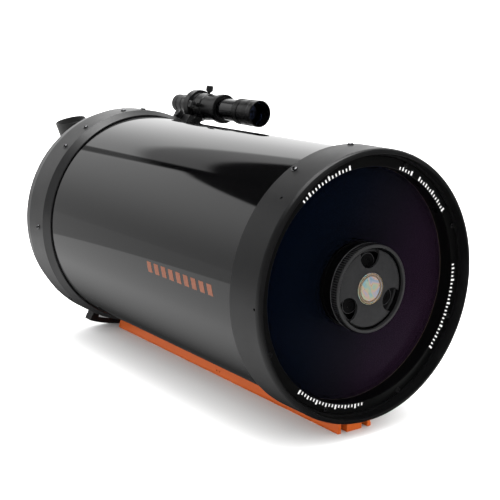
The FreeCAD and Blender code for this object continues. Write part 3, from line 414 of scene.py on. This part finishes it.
def ring_tick(deg, r0, r1, w):
    th = math.radians(deg)
    e = Vector((math.cos(th), 0, math.sin(th)))
    t = Vector((-math.sin(th), 0, math.cos(th)))
    y = 0.011 - Y0
    pts = []
    for yy in (y + 0.00002, y - 0.00010):
        for r, s in ((r0, -w / 2), (r0, w / 2), (r1, w / 2), (r1, -w / 2)):
            pts.append(Vector((0, yy, H)) + (e * r + t * s) / 1000)
    add_block(verts, faces, pts)


def tick_group(d0, d1, step, cycle):
    n = int(round(abs(d1 - d0) / step))
    for i in range(n + 1):
        d = d0 + (d1 - d0) * i / n
        kind = cycle[i % len(cycle)]
        if kind == "L":
            ring_tick(d, 118.5, 122.9, 1.9)
        elif kind == "M":
            ring_tick(d, 118.5, 122.2, 1.6)
        elif kind == "s":
            ring_tick(d, 118.5, 121.4, 1.4)


tick_group(101, 130, 2.0, "LssMss")
tick_group(33, 56, 2.0, "LssMss")
tick_group(62, 70, 2.0, "LssMs")
tick_group(-40, 3, 2.0, "LssMss")
tick_group(-131, -90, 2.0, "LssMss")
mesh_obj("ring_graduations", verts, faces, M["mark_white"], "optical_tube")

# badge: gold rims round the foil, a fine inner line
yb = 3.6 - 1.1
revolve("badge_outer_rim", P(0, yb, 0), Vector((0, -1, 0)), [(-0.0004, 0.0143), (0.0003, 0.0144), (0.0005, 0.0148), (0.0003, 0.0153), (-0.0004, 0.0154)], M["gold"], "optical_tube", 72)
revolve("badge_band", P(0, yb + 0.6, 0), Vector((0, -1, 0)), [(-0.0002, 0.0127), (0.00012, 0.0128), (0.00012, 0.0142), (-0.0002, 0.0143)], M["badge_band"], "optical_tube", 72)
revolve("badge_inner_line", P(0, yb + 0.6, 0), Vector((0, -1, 0)), [(-0.0002, 0.0121), (0.0002, 0.0122), (0.0002, 0.0127), (-0.0002, 0.0128)], M["gold"], "optical_tube", 72)
ax_y = Vector((0, 1, 0))
# knurl ribs in the darker copy of the ring's anodise: painted shade on the ring's side
ribs("secondary_ring_knurl", P(0, 0, 0), ax_y, 0.0438, 0.0022, 0.0096, 110, 0.0013, 0.00035, M["grip_side"], "secondary_ring")
# thin light ring at the secondary ring's rear edge: painted highlight
revolve("secondary_ring_glint_line", P(0, 10.1, 0), ax_y, [(0.0, 0.0436), (0.0001, 0.0441), (0.0005, 0.0441), (0.0006, 0.0436)], M["knob_edge"], "secondary_ring", 128)
ribs("coupling_ring_knurl", P(0, 522.2, 0), ax_y, 0.0312, 0.0016, 0.0106, 64, 0.0018, 0.0005, M["matte"], "coupling_ring")
for k, (ang) in enumerate((92, -28, 212)):
    x, z = 25.5 * math.cos(math.radians(ang)), 25.5 * math.sin(math.radians(ang))
    ribs("collimation_knurl_%d" % (k + 1), P(x, 7.6, z), ax_y, 0.0088, 0.0010, 0.0056, 36, 0.0009, 0.00022, M["knob_black"], "collimation_%d" % (k + 1))
    # thin light ring on each knob's edge: painted glint
    revolve("collimation_edge_%d" % (k + 1), P(x, 7.6, z), ax_y, [(0.0011, 0.0086), (0.0006, 0.0088), (0.0006, 0.0091), (0.0011, 0.0092)], M["knob_edge"], "collimation_%d" % (k + 1), 48)
ribs("finder_lock_knurl", P(100, 352, 137), ax_y, 0.0159, 0.0012, 0.0098, 54, 0.0010, 0.0003, M["finder_matte"], "finder_lock")
ribs("finder_cell_knurl", P(100, 322, 137), ax_y, 0.0161, 0.0105, 0.0180, 60, 0.0010, 0.0003, M["finder_matte"], "finder_objective")
for nm, ang in (("a", 45), ("b", 135)):
    d = Vector((math.cos(math.radians(ang)), 0, math.sin(math.radians(ang))))
    ribs("back_screw_knurl_" + nm, P(20.8 * d.x, 549.2, 20.8 * d.z), d, 0.0052, 0.0017, 0.0072, 26, 0.0007, 0.00022, M["steel"], "back_thumbscrew_" + nm)
for nm, ang in (("a", 79), ("b", 169)):
    d = Vector((math.cos(math.radians(ang)), 0, math.sin(math.radians(ang))))
    ribs("adjust_screw_knurl_" + nm, P(100 + 18.9 * d.x, 440, 137 + 18.9 * d.z), d, 0.0044, 0.0017, 0.0082, 22, 0.0007, 0.00022, M["plastic"], "adjust_screw_" + nm)
er = Vector((math.cos(math.radians(53.9)), 0, math.sin(math.radians(53.9))))
et = Vector((er.z, 0, -er.x))
seat = er * 144.0 - et * 15.2
ribs("foot_screw_knurl", P(seat.x, 460, seat.z), -et, 0.0050, 0.0015, 0.0080, 24, 0.0008, 0.00025, M["plastic"], "foot_thumbscrew")
ribs("finder_eyepiece_grip", P(100, 500, 137), ax_y, 0.0116, 0.0006, 0.0084, 36, 0.0011, 0.0003, M["plastic"], "finder_scope")
T = math.radians(12.5)
up = Vector((-math.sin(T), 0, math.cos(T)))
ribs("eyepiece_screw_knurl", P(0, 588 + 19.3, 0) + up * 0.034, ax_y, 0.0048, 0.0015, 0.0070, 24, 0.0008, 0.00022, M["steel"], "holder_thumbscrew")
ribs("eyepiece_grip", P(0, 588, 0), up, 0.0184, 0.0680, 0.0826, 48, 0.0015, 0.0004, M["rubber"], "eyepiece")
revolve("eyepiece_band", P(0, 588, 0), up, [(0.0536, 0.0181), (0.0538, 0.0184), (0.0552, 0.0184), (0.0554, 0.0181)], M["steel"], "eyepiece")

# ------------------------------------------------------------------ stage and light
def stage_mesh(name, bm, mat, glossy_only=False):
    me = bpy.data.meshes.new(name)
    bm.to_mesh(me)
    bm.free()
    o = bpy.data.objects.new(name, me)
    bpy.context.scene.collection.objects.link(o)
    me.materials.append(mat)
    if glossy_only:  # a studio reflection card: it lights nothing and is seen only in gloss
        o.visible_camera = False
        o.visible_diffuse = False
        o.visible_transmission = False
        o.visible_volume_scatter = False
        o.visible_shadow = False
    return o


bm = bmesh.new()
bmesh.ops.create_grid(bm, x_segments=8, y_segments=8, size=16, matrix=Matrix.Translation((0, 0, -0.0002)))
m, nt, b = new_mat("pale_floor")
n1 = noise(nt, 2.0, 3, 0.5)
cr = ramp(nt, n1.outputs["Fac"], 0.3, 0.7, (0.88, 0.88, 0.88), (0.90, 0.90, 0.895))
nt.links.new(cr.outputs[0], b.inputs["Base Color"])
b.inputs["Roughness"].default_value = 0.9
b.inputs["Specular IOR Level"].default_value = 0.1
stage_mesh("floor", bm, m)


class Nodes:
    """Small helper for arithmetic in a node tree."""

    def __init__(self, nt):
        self.nt = nt

    def op(self, kind, *ins):
        n = self.nt.nodes.new("ShaderNodeMath")
        n.operation = kind
        for k, v in enumerate(ins):
            if hasattr(v, "is_linked"):
                self.nt.links.new(v, n.inputs[k])
            else:
                n.inputs[k].default_value = v
        return n.outputs[0]

    def span(self, src, lo, hi, a, b, smooth=True):
        n = self.nt.nodes.new("ShaderNodeMapRange")
        n.interpolation_type = "SMOOTHSTEP" if smooth else "LINEAR"
        self.nt.links.new(src, n.inputs["Value"])
        for k, v in (("From Min", lo), ("From Max", hi), ("To Min", a), ("To Max", b)):
            n.inputs[k].default_value = v
        return n.outputs[0]


def emitter(name):
    m = bpy.data.materials.new(name)
    m.use_nodes = True
    nt = m.node_tree
    for n in list(nt.nodes):
        nt.nodes.remove(n)
    out = nt.nodes.new("ShaderNodeOutputMaterial")
    e = nt.nodes.new("ShaderNodeEmission")
    nt.links.new(e.outputs[0], out.inputs[0])
    m.cycles.emission_sampling = "NONE"
    return m, nt, e


# painted reflections, seen only in gloss: two tall white panels with a dark seam between them and a dark ceiling over
# them
m, nt, e = emitter("painted_panel_reflections")
g = Nodes(nt)
tc = nt.nodes.new("ShaderNodeTexCoord")
sep = nt.nodes.new("ShaderNodeSeparateXYZ")
nrm = nt.nodes.new("ShaderNodeVectorMath")
nrm.operation = "NORMALIZE"
nt.links.new(tc.outputs["Object"], nrm.inputs[0])
nt.links.new(nrm.outputs[0], sep.inputs[0])
X, Y, Z = sep.outputs
azd = g.op("MULTIPLY", g.op("ARCTAN2", X, Y), 180 / math.pi)
eld = g.op("MULTIPLY", g.op("ARCSINE", Z), 180 / math.pi)
right = g.op("MULTIPLY", g.span(azd, 0, 25, 1.30, 1.80), g.span(eld, 2, 20, 0.75, 1.0))
right = g.op("MULTIPLY", right, g.span(eld, 30.4, 31.8, 1.0, 0.42))
right = g.op("MULTIPLY", right, g.span(eld, 34.8, 35.8, 1.0, 0.01))
right = g.op("MULTIPLY", right, g.span(azd, -3.6, -2.6, 0.0, 1.0))
left = g.op("MULTIPLY", g.span(eld, 2, 31, 0.62, 1.22), g.span(eld, 32.9, 33.7, 1.0, 0.01))
left = g.op("MULTIPLY", left, g.span(azd, -7.6, -6.4, 1.0, 0.0))
left = g.op("MULTIPLY", left, g.span(azd, -52, -38, 0.12, 1.0))
right = g.op("MULTIPLY", right, g.span(azd, 60, 95, 1.0, 0.12))
seam = g.op("MULTIPLY", g.op("MULTIPLY", g.span(azd, -8.5, -6.5, 0.0, 1.0), g.span(azd, -3.5, -2.0, 1.0, 0.0)), g.span(eld, 30.0, 32.4, 0.30, 0.0))
nt.links.new(g.op("ADD", g.op("ADD", g.op("ADD", right, left), seam), 0.012), e.inputs["Strength"])
bm = bmesh.new()
bmesh.ops.create_uvsphere(bm, u_segments=48, v_segments=24, radius=9)
dome = stage_mesh("reflection_panels", bm, m, True)
dome.location = (0, 0, 0.15)

# the table top as the gloss sees it, a painted reflection: painted shadow close to the telescope, bright beside it,
# grey past its far edge, dark in front
m, nt, e = emitter("painted_table_reflection")
g = Nodes(nt)
tc = nt.nodes.new("ShaderNodeTexCoord")
sep = nt.nodes.new("ShaderNodeSeparateXYZ")
nt.links.new(tc.outputs["Object"], sep.inputs[0])
X, Y, Z = sep.outputs
ax = g.op("ABSOLUTE", X)
# painted shadow of the telescope on the table: dark close to it, bright from 0.21 m out
near = g.span(ax, 0.05, 0.21, 0.05, 1.15)
beyond = g.op("MAXIMUM", near, g.span(Y, 0.45, 0.75, 0.0, 1.12))
# painted dark reflection in front of the telescope
front = g.span(Y, -0.62, -0.28, 0.05, 1.0)
# past its far edge: a painted reflection of a grey wall
past = g.op("GREATER_THAN", Y, 0.75)
table = g.op("MULTIPLY", beyond, front)
mixv = g.op("ADD", g.op("MULTIPLY", table, g.op("SUBTRACT", 1.0, past)), g.op("MULTIPLY", past, 0.70))
nt.links.new(mixv, e.inputs["Strength"])
bm = bmesh.new()
bmesh.ops.create_grid(bm, x_segments=4, y_segments=4, size=8.5, matrix=Matrix.Translation((0, 0, 0.0004)))
stage_mesh("reflection_table", bm, m, True)

world = bpy.data.worlds.new("studio")
bpy.context.scene.world = world
world.use_nodes = True
bg = world.node_tree.nodes.get("Background") or world.node_tree.nodes.new("ShaderNodeBackground")
bg.inputs["Color"].default_value = (1.0, 1.0, 1.0, 1)
bg.inputs["Strength"].default_value = 2.45


def area(name, loc, target, sx, sy, power, color=(1, 1, 1)):
    ld = bpy.data.lights.new(name, "AREA")
    ld.shape = "RECTANGLE"
    ld.size, ld.size_y = sx, sy
    ld.energy = power
    ld.color = color
    lo = bpy.data.objects.new(name, ld)
    bpy.context.scene.collection.objects.link(lo)
    lo.location = loc
    d = Vector(loc) - Vector(target)
    lo.rotation_euler = d.to_track_quat("Z", "Y").to_euler()
    return lo


area("top_softbox", (0.1, 0.3, 2.6), (0, 0.05, 0.15), 2.2, 2.2, 95)

# ------------------------------------------------------------------ camera
az, el = math.radians(-34.408), math.radians(12.391)
back = Vector((math.sin(az) * math.cos(el), -math.cos(az) * math.cos(el), math.sin(el)))
cd = bpy.data.cameras.new("camera")
cam = bpy.data.objects.new("camera", cd)
bpy.context.scene.collection.objects.link(cam)
cam.location = P(0, 250, 0) + back * 1.2457
cam.rotation_euler = back.to_track_quat("Z", "Y").to_euler()
cd.sensor_width = 36
cd.lens = 78.106
cd.shift_x = 0.0483
cd.shift_y = -0.0131
cd.clip_start = 0.01
bpy.context.scene.camera = cam
bpy.context.scene.view_settings.view_transform = "Standard"
